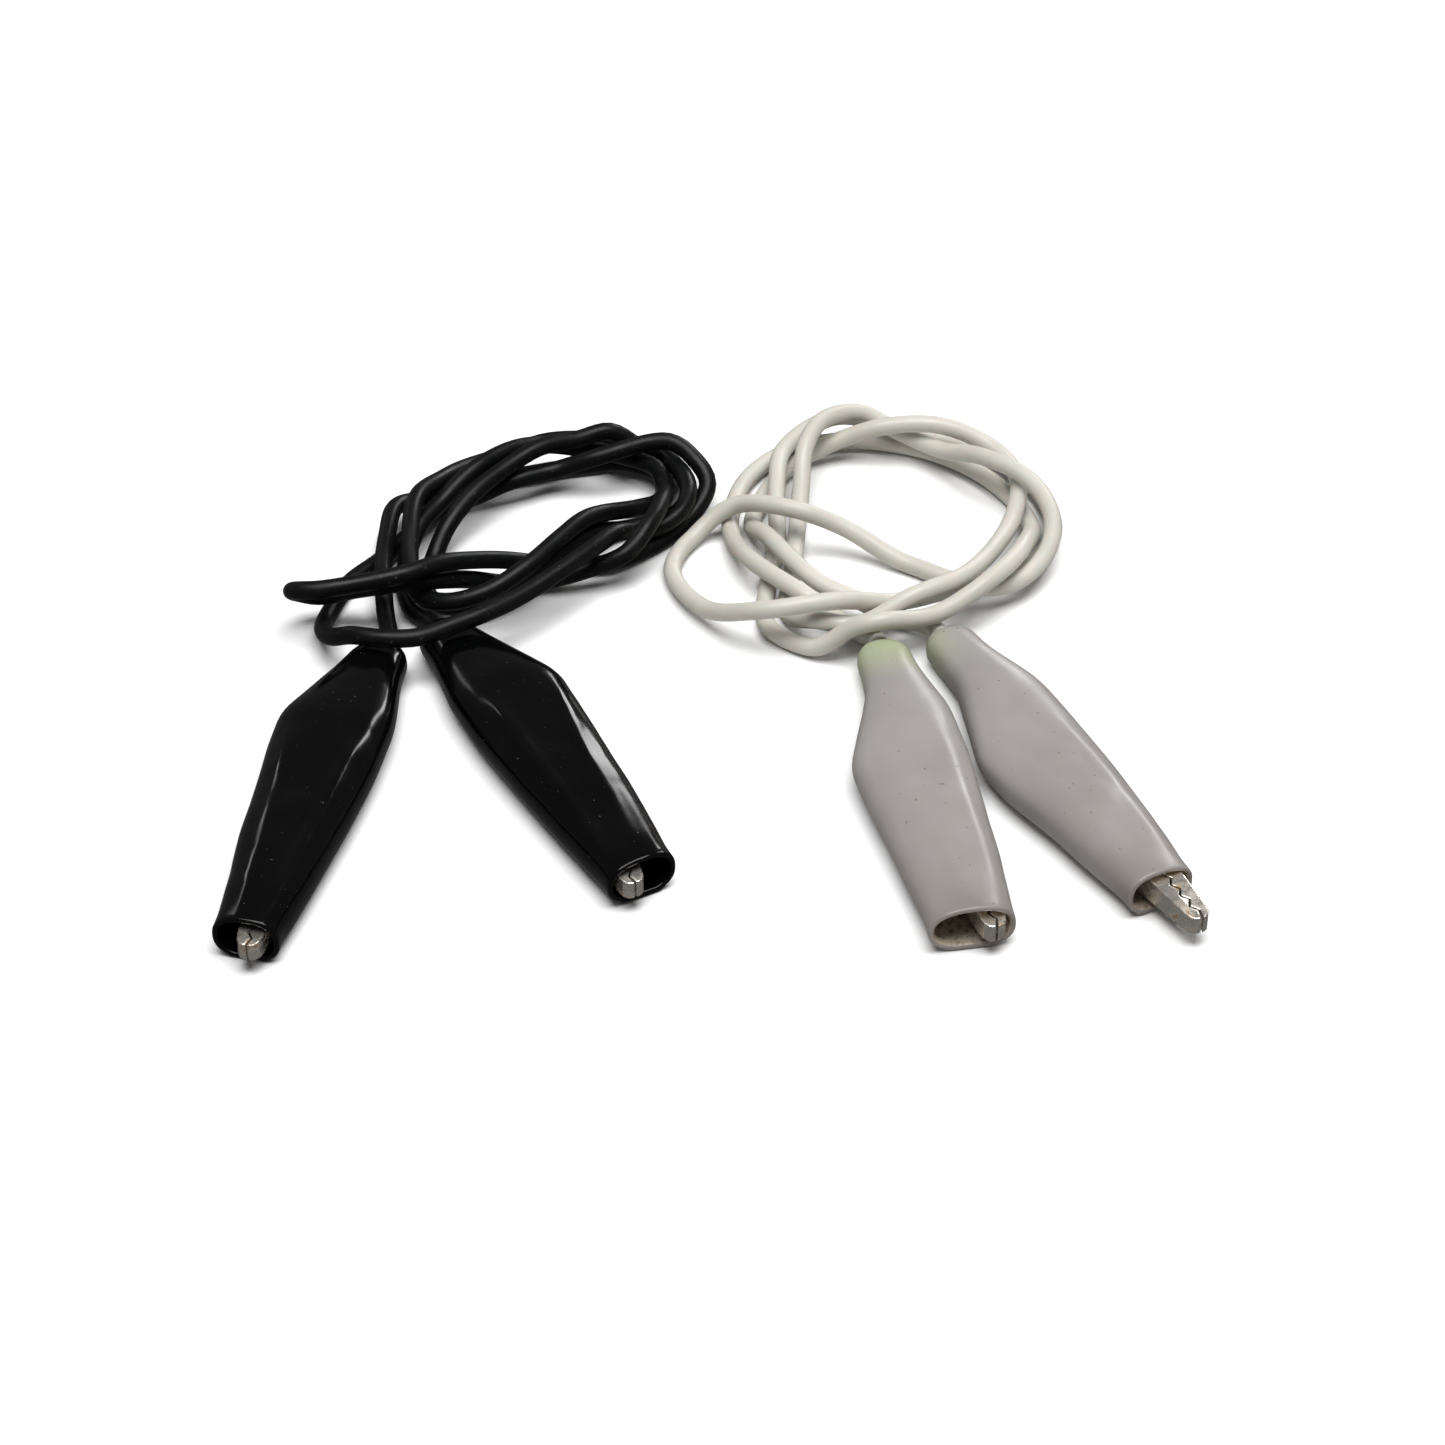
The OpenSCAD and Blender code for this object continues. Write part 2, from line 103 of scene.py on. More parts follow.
# Where each cable runs between its two necks: x, y and the height of its middle
BLACK_ROUTE = [
    [-29.3, 14.8, 1], [-30.5, 16.2, 1], [-31.5, 20, 1], [-31.5, 23.5, 1.5], [-30.5, 27, 3],
    [-28.5, 30.5, 3.5], [-25, 34.5, 5], [-20.5, 39, 4.5], [-15.5, 41, 3], [-7, 37.5, 3],
    [-6, 34, 3], [-6, 29, 5], [-7, 25, 5.5], [-9.5, 21.5, 4], [-13, 21, 2.5], [-17, 20.5, 1.5],
    [-21.5, 20.5, 1], [-25, 18.5, 3], [-30, 15.5, 5], [-36, 15.5, 4], [-39.5, 15.8, 3],
    [-41.2, 15.2, 3.8], [-41.8, 14, 5], [-41, 12.8, 6], [-39, 12.4, 6.4],
    [-36, 13, 6.5], [-31, 14, 7], [-27.5, 16.5, 6.5], [-24.5, 19, 5], [-21.5, 21, 3.5],
    [-18.5, 22.5, 2], [-15, 23.5, 1], [-11, 24, 1],
    [-4.5, 29.5, 1], [-1.5, 34.5, 3], [-3, 37, 4.5], [-5.5, 38.5, 5.5], [-13, 37, 4.5],
    [-17, 37, 3], [-21.5, 35, 3], [-25, 34.5, 1.5], [-28.5, 33, 1], [-34, 24.5, 1],
    [-37, 20.5, 1], [-38.5, 16, 1], [-38.9, 12.6, 1.6], [-37.8, 9.4, 3], [-35.4, 7.2, 4.9],
    [-32.3, 6.2, 5.3], [-29, 6.4, 5.3], [-26, 8, 5.4], [-23, 9.9, 5.4], [-19.5, 13, 5.2],
    [-13, 20, 5.5], [-10.5, 23.5, 5], [-8, 26.5, 3], [-6, 27.5, 3], [-4, 29.5, 3.5],
    [-3.5, 32.5, 4],
    [-6, 39.5, 3], [-8.5, 41, 3], [-11.5, 41, 5], [-15, 39.5, 5], [-18.5, 37.5, 5.5],
    [-22, 34.5, 5], [-25, 31, 4.5], [-27.5, 27.5, 3], [-29, 24, 1], [-29.5, 20.5, 1],
    [-28, 17, 1], [-24.5, 16, 2], [-21.5, 17.5, 3], [-18.5, 19.5, 3.5], [-15.5, 23, 3.5],
    [-12.5, 27, 2.5], [-10, 29.5, 1], [-7, 30.5, 1], [-4.5, 32.5, 1], [-3.5, 35.5, 1],
    [-4, 39, 1], [-7, 43, 1], [-12, 45, 1], [-18, 45, 1], [-22.5, 42.5, 1], [-26.5, 38, 2.5],
    [-28.5, 34, 4], [-30.5, 30, 5], [-31, 25.5, 5], [-30, 16.7, 3], [-27, 14.1, 3.6],
    [-23, 14.5, 4.5], [-19, 17.5, 5.5], [-16, 22, 5.5], [-13.5, 26, 5], [-8.5, 32.5, 1.5],
    [-6.6, 34.1, 1], [-5.8, 36.4, 1], [-6.6, 39, 1], [-10, 41, 1], [-14.5, 40.5, 1], [-20, 39, 1],
    [-26, 37, 1], [-30.5, 34, 1.5], [-33, 30.5, 3], [-33.5, 26, 3], [-33.5, 20, 3],
    [-33, 15, 1.5], [-32.4, 11.5, 1.5],
]
WHITE_ROUTE = [
    [15, 10.7, 1.5], [12.5, 13.3, 1], [8.5, 15.5, 3], [3, 21.5, 3], [1, 27.5, 1.5], [1, 33, 1],
    [3, 39, 1], [7.5, 43.5, 1], [14, 45, 1], [21.5, 43, 1], [27.5, 38, 1], [31, 31, 1],
    [30, 23, 4], [27, 17, 5], [20.5, 11.8, 3.8], [15, 9.1, 5.1], [12.6, 9.3, 4.2],
    [9, 10, 1.2], [4.5, 13.5, 1], [4.5, 20, 1], [5.5, 27, 1], [5.5, 34, 3], [6.5, 41, 3],
    [12, 46.5, 3], [18, 47.5, 1],
    [25, 44, 1], [31, 38.5, 1], [33.5, 30, 1], [30.5, 23, 1], [25, 20.5, 1], [18, 24, 1],
    [12, 26.5, 3.5], [6.5, 27, 5.5], [1, 30, 3.5], [-3, 28, 1], [-5, 22.5, 1], [-1.5, 15, 2],
    [4, 11, 5], [11, 11.7, 5.6], [17.5, 15, 3], [23, 17, 3], [28.5, 18.5, 2.5], [32, 22.5, 3],
    [33, 27.5, 4], [31, 32.5, 5], [26.5, 36.5, 5], [22.5, 40.5, 3], [18, 44, 3],
    [14.5, 45, 4.5], [10.5, 42.5, 5.5], [8.5, 38.5, 5], [8, 34, 3], [7.5, 28.5, 1.5],
    [7, 22.5, 1], [6.5, 15.5, 1], [9.2, 12, 3], [13.5, 11.2, 3.2], [18.3, 12.9, 5.2],
    [23.5, 16.5, 5], [27.5, 24, 3.5], [29.5, 30, 3], [30, 36, 3], [27.5, 40.5, 3.5],
    [22.5, 42, 5], [16.5, 42.5, 4.5], [11.5, 42.5, 2.5], [7.5, 41, 1], [5, 37, 1],
    [3, 30.5, 1], [4.5, 25, 3.5], [9.5, 18, 3], [13, 16, 2.5], [17, 15, 1], [20.3, 12.9, 1.5],
]

# ---- camera and light ----------------------------------------------------------------------

VIEW_ELEVATION = 39.5
VIEW_DISTANCE = 350 * MM
VIEW_ANGLE = 22.2
DAYLIGHT = (1.0, 0.995, 0.985, 1.0)


def look_at(obj, place, target):
    obj.location = place
    obj.rotation_euler = (Vector(target) - Vector(place)).to_track_quat("-Z", "Y").to_euler()


def add_camera():
    target = -CENTRE * MM
    e = math.radians(VIEW_ELEVATION)
    camera = bpy.data.objects.new("Camera", bpy.data.cameras.new("Camera"))
    camera.data.angle = math.radians(VIEW_ANGLE)
    camera.data.clip_start = 0.01
    bpy.context.scene.collection.objects.link(camera)
    look_at(camera, target + VIEW_DISTANCE * np.array([0, -math.cos(e), math.sin(e)]), target)
    bpy.context.scene.camera = camera


def add_light(name, place, target, size, size_y, power):
    light = bpy.data.lights.new(name, "AREA")
    light.shape = "RECTANGLE"
    light.size, light.size_y, light.energy = size, size_y, power
    obj = bpy.data.objects.new(name, light)
    bpy.context.scene.collection.objects.link(obj)
    look_at(obj, place, target)


def add_world(strength):
    world = bpy.data.worlds.new("World")
    world.use_nodes = True
    background = world.node_tree.nodes["Background"]
    background.inputs["Color"].default_value = DAYLIGHT
    background.inputs["Strength"].default_value = strength
    bpy.context.scene.world = world


add_camera()
add_world(0.13)
# Place, target, width, height (metres) and power (watts)
add_light("overhead", (0.03, -0.06, 0.62), (0, 0.01, 0), 0.60, 0.40, 6.4)
add_light("window", (0.24, 0.42, 0.25), (0, 0, 0), 0.05, 0.22, 0.45)
add_light("low_window", (0.15, 0.50, 0.13), (0, 0, 0), 0.08, 0.12, 0.24)
add_light("far_window", (-0.30, 0.38, 0.24), (0, 0, 0), 0.03, 0.20, 0.07)
bpy.context.scene.view_settings.view_transform = "Standard"

# ---- swept cables --------------------------------------------------------------------------


def spline(route, step):
    """Points along the centripetal Catmull-Rom curve through a route, as in the CAD model."""
    r = [np.array(p, float) for p in route]
    out = []
    for i in range(len(r) - 1):
        p1, p2 = r[i], r[i + 1]
        p0 = r[i - 1] if i else 2 * p1 - p2
        p3 = r[i + 2] if i < len(r) - 2 else 2 * p2 - p1
        t1 = math.sqrt(np.linalg.norm(p1 - p0))
        t2 = t1 + math.sqrt(np.linalg.norm(p2 - p1))
        t3 = t2 + math.sqrt(np.linalg.norm(p3 - p2))
        steps = max(1, math.ceil(np.linalg.norm(p2 - p1) / step))
        for k in range(steps):
            t = t1 + (t2 - t1) * k / steps
            a1 = ((t1 - t) * p0 + t * p1) / t1
            a2 = ((t2 - t) * p1 + (t - t1) * p2) / (t2 - t1)
            a3 = ((t3 - t) * p2 + (t - t2) * p3) / (t3 - t2)
            b1 = ((t2 - t) * a1 + t * a2) / t2
            b2 = ((t3 - t) * a2 + (t - t1) * a3) / (t3 - t1)
            out.append(((t2 - t) * b1 + (t - t1) * b2) / (t2 - t1))
    out.append(r[-1])
    return np.array(out)


def carried_normals(points):
    """Two normals at each point, carried along the points without twist."""
    tangents = np.gradient(points, axis=0)
    tangents /= np.linalg.norm(tangents, axis=1)[:, None]
    up = np.array([0.0, 0.0, 1.0])
    normals = []
    for t in tangents:
        up = up - (up @ t) * t
        up /= np.linalg.norm(up)
        normals.append(up)
    normals = np.array(normals)
    return normals, np.cross(tangents, normals)


def mesh_object(name, verts, faces):
    mesh = bpy.data.meshes.new(name)
    mesh.from_pydata([tuple(v) for v in verts], [], faces)
    mesh.validate()
    mesh.shade_smooth()
    obj = bpy.data.objects.new(name, mesh)
    bpy.context.scene.collection.objects.link(obj)
    return obj


def ring_faces(rings, sides, closed=False):
    """Quads between rings of vertices; closed joins the last ring to the first."""
    faces = []
    for i in range(rings if closed else rings - 1):
        j = (i + 1) % rings
        for k in range(sides):
            n = (k + 1) % sides
            faces.append((i * sides + k, i * sides + n, j * sides + n, j * sides + k))
    return faces


def swept_tube(name, points, radii, sides):
    """A closed tube round the points, with flat ends."""
    v, w = carried_normals(points)
    angle = np.linspace(0, 2 * math.pi, sides, endpoint=False)
    circle = np.cos(angle)[None, :, None] * v[:, None] + np.sin(angle)[None, :, None] * w[:, None]
    verts = points[:, None] + np.asarray(radii)[:, None, None] * circle
    faces = ring_faces(len(points), sides)
    last = (len(points) - 1) * sides
    faces += [tuple(range(sides))[::-1], tuple(last + k for k in range(sides))]
    return mesh_object(name, verts.reshape(-1, 3), faces)


CABLE_STEP = 0.9
CABLE_SIDES = 20
CABLE_CLEARANCE = 0.02
# The jacket's radius varies by this share, with so many waves in a step, from a place in noise
CABLE_UNEVENNESS, CABLE_WAVE, CABLE_NOISE = 0.012, 0.25, (3.1, 7.7)

# The cable's end, in the clip's frame and then in the boot's
JACKET_END = (-13.8, 0.2)
BEHIND_TAIL = (-16.5, 0.2)
INSIDE_NECK = (3, 0, 2.2)
AT_NECK = (0, 0, 2.0)


def lead_in(clip):
    """Points of the cable inside a boot, from the jacket's end out to the neck."""
    return [
        clip.in_clip(*JACKET_END),
        clip.in_clip(*BEHIND_TAIL),
        clip.in_boot(*INSIDE_NECK),
        clip.in_boot(*AT_NECK),
    ]


def add_cable(colour, first, route, last):
    """The jacket along its whole route, a touch uneven as soft PVC is."""
    placed = [np.array(p, float) - CENTRE for p in route]
    points = spline(lead_in(first) + placed + lead_in(last)[::-1], CABLE_STEP)
    points[:, 2] = np.maximum(points[:, 2], CABLE_RADIUS + CABLE_CLEARANCE)
    points *= MM
    waves = [Vector((CABLE_WAVE * i, *CABLE_NOISE)) for i in range(len(points))]
    radii = [CABLE_RADIUS * MM * (1 + CABLE_UNEVENNESS * noise.noise(v)) for v in waves]
    cable = swept_tube(colour + "_cable", points, radii, CABLE_SIDES)
    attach(cable, colour + "_lead")
    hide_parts(colour + "_cable_jacket")
    tuple(first.in_boot(0, 0, 2.0) * MM)
    return cable


cables = {
    "black": add_cable("black", BLACK_RIGHT, BLACK_ROUTE, BLACK_LEFT),
    "white": add_cable("white", WHITE_LEFT, WHITE_ROUTE, WHITE_RIGHT),
}

# ---- boots ---------------------------------------------------------------------------------

# The outer skin's half height at distances from the neck
HEIGHTS = [(0, 2), (6, 2.3), (12, 2.7), (28, 2.7), (40, 2.5)]
# The half widths of the mouth that the CAD boot has, to the moving and to the fixed jaw's side
CAD_MOUTH = (4.5, 3.7)
# The section is a superellipse, sunk a little so that it lies flat on the bench
ROUNDNESS = 2.45
FLAT = 0.15
# How far the inner skin takes to open from the cable, and the rounding of the neck's outside
NECK_OPENS = 4.5
DOME_LENGTH, DOME_DEPTH = 1.7, 0.32

# How far along the boot its corners are rounded, and at how many places they are averaged
CORNER_REACH, CORNER_STEPS = 1.2, 9

BOOT_SIDES = 72
INNER_RINGS, OUTER_RINGS, LIP_STEPS = 48, 80, 9


def clamped(v):
    return max(0.0, min(1.0, v))


def interpolated(table, x):
    return float(np.interp(x, [p[0] for p in table], [p[1] for p in table]))


def smoothed(table, x):
    """The table's value with its corners rounded."""
    places = [x + o for o in np.linspace(-CORNER_REACH, CORNER_REACH, CORNER_STEPS)]
    return sum(interpolated(table, min(max(p, 0), BOOT_LENGTH)) for p in places) / CORNER_STEPS


def moving_half(clip):
    """The outer skin's half width on the moving jaw's side, at distances from the neck."""
    mouth = clip.mouth[0]
    drawn_in = 0.5 * (CAD_MOUTH[0] - mouth)
    return [
        (0, 2.5), (clip.belly - 10.5, 3.1), (clip.belly, 6.7), (clip.belly + 5, 6.2),
        (30, 5.3 - drawn_in), (39, mouth - 0.1), (40, mouth),
    ]


def fixed_half(clip):
    """The same on the fixed jaw's side."""
    mouth = clip.mouth[1]
    drawn_in = 0.5 * (CAD_MOUTH[1] - mouth)
    return [
        (0, 2.5), (5, 3.1), (11, 4.5), (17, 4.7), (24, 4.5),
        (31, 4.2 - drawn_in), (39, mouth - 0.1), (40, mouth),
    ]


def signed_power(v):
    return math.copysign(abs(v) ** (2 / ROUNDNESS), v)


def boot_ring(clip, x, inset):
    """One ring of a boot's skin, inset from its outer face; the neck closes on the cable."""
    inner = inset / BOOT_WALL
    closing = max(0.0, 1 - x / NECK_OPENS) * inner
    dome = 1 - DOME_DEPTH * max(0.0, 1 - x / DOME_LENGTH) ** 2 * (1 - inner)
    h = smoothed(HEIGHTS, x)
    sides = smoothed(moving_half(clip), x), smoothed(fixed_half(clip), x)
    ring = []
    for k in range(BOOT_SIDES):
        a = 2 * math.pi * k / BOOT_SIDES
        half = sides[1] if math.cos(a) > 0 else sides[0]
        w = (half - inset) * (1 - closing) * dome + NECK_BORE * closing
        v = (h - inset) * (1 - closing) * dome + NECK_BORE * closing
        z = h + v * signed_power(math.sin(a)) - FLAT * (1 - closing)
        ring.append(clip.in_boot(x * clip.stretch, w * signed_power(math.cos(a)), max(z, inset)))
    return ring


def boot_profile():
    """(distance from the neck, inset) round the wall: inner skin, lip, outer skin, neck lip."""
    half = BOOT_WALL / 2
    turn = np.linspace(0, math.pi, LIP_STEPS)[1:-1]
    inner = [(x, BOOT_WALL) for x in np.linspace(half, BOOT_LENGTH - half, INNER_RINGS)]
    mouth = [
        (BOOT_LENGTH - half + half * math.sin(a), half + half * math.cos(a)) for a in turn
    ]
    outer = [(x, 0.0) for x in np.linspace(BOOT_LENGTH - half, half, OUTER_RINGS)]
    neck = [(half - half * math.sin(a), half - half * math.cos(a)) for a in turn]
    return inner + mouth + outer + neck


# The jaws' backs under the skin: half widths at distances from the rivet, and how far each
# raises the skin above it
FIXED_BACK = [(-9.5, 2.9), (-1, 2.5), (12, 1.6), (17, 1.3)]
MOVING_BACK = [(-9.5, 3.8), (-1, 2.6), (12, 1.6), (17, 1.3)]
FIXED_RISE, MOVING_RISE = 0.36, 0.24
RIDGE_WIDTH = 0.8
# The ridges fade in behind the rivet and out at the mouth
RIDGE_START, RIDGE_FADE_IN, RIDGE_FADE_OUT = -12, 4, 5
RIVET_RISE, RIVET_REACH = 0.12, 1.7
# How closely each colour's vinyl follows the clip inside
FIRMNESS = {"black": 1.0, "white": 0.4}


def ridge(clip, x, y):
    """How far the clip inside pushes the skin up at a place in the boot, in millimetres."""
    from_rivet = x * clip.stretch - clip.rivet
    lean = from_rivet * math.sin(clip.tilt)
    backs = (
        (lean + interpolated(FIXED_BACK, from_rivet), FIXED_RISE),
        (lean - interpolated(MOVING_BACK, from_rivet), MOVING_RISE),
    )
    over_clip = clamped((from_rivet - RIDGE_START) / RIDGE_FADE_IN)
    over_clip *= clamped((BOOT_LENGTH - x) / RIDGE_FADE_OUT)
    edges = sum(rise * math.exp(-(((y - back) / RIDGE_WIDTH) ** 2)) for back, rise in backs)
    rivet_head = RIVET_RISE * math.exp(-(((from_rivet**2 + y**2) / RIVET_REACH**2) ** 2))
    return over_clip * FIRMNESS[clip.colour] * edges + rivet_head


# The skin's broad hollows and small dents: mean depth, variation and waves in a millimetre
HOLLOW, HOLLOW_VARIES, HOLLOW_WAVES = 0.10, 0.16, 0.14
DENT, DENT_VARIES, DENT_WAVES = 0.02, 0.03, 0.4
# The neck over its first millimetres, and the underside up to this height, keep their shape
STEADY_NECK = 4.0
STEADY_UNDERSIDE = 0.3


def shaped(clip, x, p):
    """A point of the skin with the ridges over the clip and the hollows of a soft moulding."""
    middle = clip.in_boot(x * clip.stretch, 0, CLIP_HEIGHT)
    outward = p - middle
    outward /= max(np.linalg.norm(outward), 1e-6)
    keep = min(1.0, x / STEADY_NECK) * (1.0 if p[2] > STEADY_UNDERSIDE else 0.0)
    hollow = HOLLOW + HOLLOW_VARIES * noise.noise(Vector(p * HOLLOW_WAVES + clip.along))
    hollow += DENT + DENT_VARIES * noise.noise(Vector(p * DENT_WAVES))
    y = float((p - clip.neck) @ clip.across)
    up = ridge(clip, x, y) if p[2] > CLIP_HEIGHT else 0.0
    return p - outward * (hollow * keep) + np.array([0.0, 0.0, up * keep])


def ramp_down(value, start, end):
    """1 up to start, 0 from end, smooth between them."""
    t = clamped((value - start) / (end - start))
    return 1 - t * t * (3 - 2 * t)


# The colour turns darker and browner along the boot, and again over the last millimetres to the
# mouth
DARKENING_ALONG, DARKENING_AT_MOUTH, MOUTH_REACH = 0.24, 0.28, 9.0
# The yellow-green tint is full up to the first distance from the neck, and gone at the second
TINT_FULL, TINT_GONE = 1.0, 8.0
# Across a boot other than the left white one it fades over this width, towards the fixed jaw
TINT_AT_MIDDLE, TINT_FADE = 0.15, 5


def add_boot(clip):
    """A boot's skin, with attributes for its inner skin, which gets painted light, for how much
    darker it turns towards the mouth, and for its tint.
    """
    profile = boot_profile()
    verts = []
    inner_skin = []
    darkening = []
    tint = []
    for x, inset in profile:
        inside = inset / BOOT_WALL
        near_mouth = max(0.0, 1 - (BOOT_LENGTH - x) / MOUTH_REACH)
        for p in boot_ring(clip, x, inset):
            verts.append(shaped(clip, x, p))
            inner_skin.append(inside)
            darkening.append(DARKENING_ALONG * x / BOOT_LENGTH + DARKENING_AT_MOUTH * near_mouth**3)
            y = float((p - clip.neck) @ clip.across)
            side = 1.0 if clip is WHITE_LEFT else max(0.0, TINT_AT_MIDDLE - y / TINT_FADE)
            tint.append(ramp_down(x, TINT_FULL, TINT_GONE) * min(1.0, side))
    boot = mesh_object(
        clip.name + "_vinyl_boot",
        np.array(verts) * MM,
        ring_faces(len(profile), BOOT_SIDES, closed=True),
    )
    for name, values in (("inner_skin", inner_skin), ("darkening", darkening), ("tint", tint)):
        boot.data.attributes.new(name, "FLOAT", "POINT").data.foreach_set("value", values)
    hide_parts(clip.name + "_boot")
    return boot


boots = {clip.name: add_boot(clip) for clip in CLIPS}

# ---- springs -------------------------------------------------------------------------------

# The wire's radius, and the coil's radius, turns and half height
SPRING_WIRE = 0.15
SPRING_MEAN = 1.3
SPRING_TURNS = 2.5
SPRING_HALF = 0.45
SPRING_STEPS, SPRING_SIDES = 90, 12
# The legs in the clip's frame, along the fixed and the moving jaw's handle
FIXED_LEG = [(-7.8, 2.1, SPRING_HALF), (-4.0, 1.7, SPRING_HALF)]
MOVING_LEG = [(-4.0, -2.0, -SPRING_HALF), (-7.8, -2.75, -SPRING_HALF)]


def add_spring(clip):
    """The torsion spring round the rivet, its second leg on the moving jaw's handle."""
    coil = []
    for i in range(SPRING_STEPS + 1):
        a = math.radians(90 - 360 * SPRING_TURNS * i / SPRING_STEPS)
        z = SPRING_HALF - 2 * SPRING_HALF * i / SPRING_STEPS
        coil.append((SPRING_MEAN * math.cos(a), SPRING_MEAN * math.sin(a), z))
    points = np.array([clip.in_clip(*p) for p in FIXED_LEG + coil + MOVING_LEG]) * MM
    radii = [SPRING_WIRE * MM] * len(points)
    spring = swept_tube(clip.name + "_torsion_spring", points, radii, SPRING_SIDES)
    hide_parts(clip.name + "_spring")
    return spring


springs = {clip.name: add_spring(clip) for clip in CLIPS}

# ---- materials -----------------------------------------------------------------------------


# Colours are linear. Noise sizes, bump distances and edge radii are in millimetres.


class Material:
    """A small helper that wires a procedural Principled material."""

    def __init__(self, name, **constants):
        """constants: the shader's own inputs, with _ for each space in their names."""
        self.material = bpy.data.materials.new(name)
        self.material.use_nodes = True
        self.tree = self.material.node_tree
        self.shader = self.tree.nodes["Principled BSDF"]
        for key, value in constants.items():
            self.shader.inputs[key.replace("_", " ")].default_value = value
        coordinates = self.tree.nodes.new("ShaderNodeTexCoord")
        self.place = coordinates.outputs["Object"]

    def link(self, a, b):
        self.tree.links.new(a, b)

    def noise(self, size, detail=3.0, roughness=0.55):
        """Noise whose features are about size millimetres wide."""
        n = self.tree.nodes.new("ShaderNodeTexNoise")
        n.inputs["Scale"].default_value = 1 / (size * MM)
        n.inputs["Detail"].default_value = detail
        n.inputs["Roughness"].default_value = roughness
        self.link(self.place, n.inputs["Vector"])
        return n.outputs["Fac"]

    def ramp(self, value, low, high, out_low=0.0, out_high=1.0):
        """out_low up to low, out_high from high, and smooth between them."""
        n = self.tree.nodes.new("ShaderNodeMapRange")
        n.interpolation_type = "SMOOTHSTEP"
        keys = "From Min", "From Max", "To Min", "To Max"
        for key, v in zip(keys, (low, high, out_low, out_high)):
            n.inputs[key].default_value = v
        self.link(value, n.inputs["Value"])
        return n.outputs["Result"]

    def maths(self, operation, a, b):
        n = self.tree.nodes.new("ShaderNodeMath")
        n.operation = operation
        for socket, v in zip(n.inputs, (a, b)):
            if isinstance(v, (int, float)):
                socket.default_value = v
            else:
                self.link(v, socket)
        return n.outputs["Value"]

    def mix(self, factor, a, b):
        """Colour a where the factor is 0, and b where it is 1."""
        n = self.tree.nodes.new("ShaderNodeMix")
        n.data_type = "RGBA"
        self.link(factor, n.inputs["Factor"])
        for socket, v in ((n.inputs["A"], a), (n.inputs["B"], b)):
            if isinstance(v, tuple):
                socket.default_value = (*v, 1)
            else:
                self.link(v, socket)
        return n.outputs["Result"]

    def attribute(self, name):
        n = self.tree.nodes.new("ShaderNodeAttribute")
        n.attribute_name = name
        return n.outputs["Fac"]

    def colour(self, socket):
        self.link(socket, self.shader.inputs["Base Color"])

    def roughness(self, socket):
        self.link(socket, self.shader.inputs["Roughness"])

    def bump(self, height, distance, strength, edge=0.0):
        """Relief of so many millimetres, and edges that look rounded by the radius edge."""
        n = self.tree.nodes.new("ShaderNodeBump")
        n.inputs["Distance"].default_value = distance * MM
        n.inputs["Strength"].default_value = strength
        self.link(height, n.inputs["Height"])
        if edge:
            bevel = self.tree.nodes.new("ShaderNodeBevel")
            bevel.samples = 8
            bevel.inputs["Radius"].default_value = edge * MM
            self.link(bevel.outputs["Normal"], n.inputs["Normal"])
        self.link(n.outputs["Normal"], self.shader.inputs["Normal"])


def black_vinyl():
    m = Material("black_vinyl", IOR=1.46, Specular_IOR_Level=0.26)
    dust = m.ramp(m.noise(0.32, 2.0, 0.7), 0.73, 0.78)
    haze = m.ramp(m.noise(8.0, 2.0), 0.45, 0.75, 0.0, 0.35)
    clean = m.mix(haze, (0.0010, 0.0011, 0.0011), (0.0032, 0.0033, 0.0038))
    m.colour(m.mix(dust, clean, (0.13, 0.13, 0.13)))
    smears = m.ramp(m.noise(6.0, 3.0), 0.35, 0.7, 0.10, 0.20)
    m.roughness(m.maths("ADD", smears, m.maths("MULTIPLY", dust, 0.4)))
    grain = m.maths("MULTIPLY", m.noise(0.3, 1.0), 0.03)
    m.bump(m.maths("ADD", m.noise(3.0, 1.0), grain), 0.08, 0.35)
    return m.material


def white_vinyl():
    m = Material(
        "white_vinyl",
        IOR=1.46,
        Subsurface_Weight=0.55,
        Subsurface_Scale=1.1 * MM,
        Subsurface_Radius=(1.0, 0.9, 0.85),
    )
    cloud = m.ramp(m.noise(8.0, 2.0), 0.3, 0.7)
    clean = m.mix(cloud, (0.262, 0.246, 0.240), (0.292, 0.276, 0.268))
    tinted = m.mix(m.attribute("tint"), clean, (0.33, 0.36, 0.235))
    speck = m.ramp(m.noise(0.45, 0.0), 0.835, 0.85)
    spotted = m.mix(m.maths("MULTIPLY", speck, 0.8), tinted, (0.10, 0.08, 0.06))
    # Darker and browner towards the mouth, unevenly
    uneven = m.ramp(m.noise(5.0, 1.0), 0.3, 0.7, 0.6, 1.0)
    darkening = m.maths("MULTIPLY", m.attribute("darkening"), uneven)
    # The inner skin takes a beige lighter than the outside: partly its own tone, partly painted
    # light that stands in for the light reaching into the mouth
    inner_skin = m.ramp(m.attribute("inner_skin"), 0.75, 1.0)
    inside_lightened = m.mix(inner_skin, m.mix(darkening, spotted, (0.13, 0.10, 0.07)), (0.47, 0.41, 0.33))
    crumbs = m.ramp(m.noise(0.5, 3.0, 0.65), 0.50, 0.62, 0.12, 0.75)
    m.colour(m.mix(m.maths("MULTIPLY", inner_skin, crumbs), inside_lightened, (0.12, 0.085, 0.055)))
    # A range that reaches below 0.28 leaves patches on the boots in a denoised render
    m.roughness(m.ramp(m.noise(3.0), 0.3, 0.7, 0.29, 0.36))
    m.bump(m.noise(3.0, 1.0), 0.08, 0.3)
    return m.material


def black_jacket():
    m = Material("black_jacket", Specular_IOR_Level=0.17)
    dust = m.ramp(m.noise(0.4, 2.0, 0.7), 0.66, 0.74)
    m.colour(m.mix(dust, (0.0028, 0.0032, 0.0030), (0.04, 0.042, 0.04)))
    m.roughness(m.ramp(m.noise(3.0, 3.0), 0.3, 0.7, 0.32, 0.46))
    m.bump(m.noise(0.6, 3.0), 0.03, 0.4)
    return m.material


